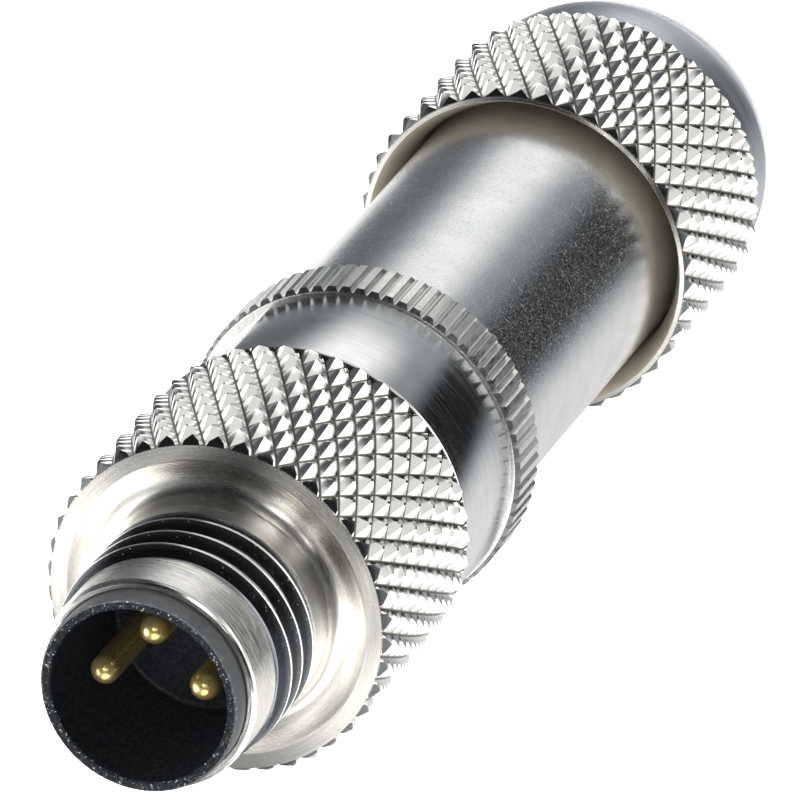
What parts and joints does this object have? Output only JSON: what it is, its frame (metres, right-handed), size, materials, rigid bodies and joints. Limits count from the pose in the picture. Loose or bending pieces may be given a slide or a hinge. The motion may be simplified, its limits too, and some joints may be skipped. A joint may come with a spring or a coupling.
{
  "type": "m8 circular connector",
  "caption": "Straight male circular cable connector with a knurled locking screw, gold pins in a plastic shroud, a screwed sleeve and a knurled cable clamping nut.",
  "frame": {"origin": "on the connector's axis, in the plane of the clamping nut's rear face, on which it stands", "axes": "+Z along the connector's axis towards the pins; the pins stand at 0, 90 and 180 degrees about Z from +X"},
  "size_m": [0.0122, 0.0122, 0.0465],
  "materials": {
    "nickel_knurl": "bright nickel plating",
    "nickel_band": "nickel plating over fine turning marks",
    "nickel_satin": "satin nickel plating with small scratches",
    "black_plastic": "moulded, slightly satin",
    "gold": "gold plating",
    "black_rubber": "matt",
    "spring_steel": "bright wire",
    "green_plastic": "moulded",
    "natural_plastic": "moulded, milky"
  },
  "bodies": {
    "nut": {"clamping_nut": "nickel_knurl"},
    "washer": {"thrust_washer": "spring_steel"},
    "sleeve": {"body_sleeve": "nickel_satin", "clamping_cage": "black_plastic", "gland_seal": "black_rubber"},
    "liner": {"insulating_liner": "natural_plastic"},
    "housing": {"front_housing": "nickel_band", "contact_carrier": "black_plastic", "contact_pin_1": "gold", "contact_pin_3": "gold", "contact_pin_4": "gold", "carrier_o_ring": "black_rubber", "carrier_lock_ring": "nickel_band", "terminal_insert": "green_plastic", "terminal_screw_1": "spring_steel", "terminal_screw_3": "spring_steel", "terminal_screw_4": "spring_steel", "sleeve_o_ring": "black_rubber", "coupling_clip": "spring_steel", "coupling_o_ring": "black_rubber"},
    "coupling": {"coupling_screw": "nickel_knurl"}
  },
  "joints": [
    {"name": "nut_turn", "type": "hinge", "parent": "nut", "child": "washer", "pos_m": [0, 0, 0], "axis": [0, 0, 1], "range_deg": [0, 900.1]},
    {"name": "nut_travel", "type": "slide", "parent": "washer", "child": "sleeve", "axis": [0, 0, 1], "range_m": [0, 0.0025]},
    {"name": "sleeve_turn", "type": "hinge", "parent": "sleeve", "child": "liner", "pos_m": [0, 0, 0], "axis": [0, 0, 1], "range_deg": [0, 1800.1]},
    {"name": "sleeve_travel", "type": "slide", "parent": "liner", "child": "housing", "axis": [0, 0, 1], "range_m": [0, 0.0025]},
    {"name": "coupling_spin", "type": "hinge", "parent": "housing", "child": "coupling", "pos_m": [0, 0, 0.035], "axis": [0, 0, 1], "continuous": true}
  ],
  "couplings": [
    {"joint": "nut_turn", "follows": "nut_travel", "rad_per_m": 6283.2},
    {"joint": "sleeve_turn", "follows": "sleeve_travel", "rad_per_m": 12566}
  ]
}
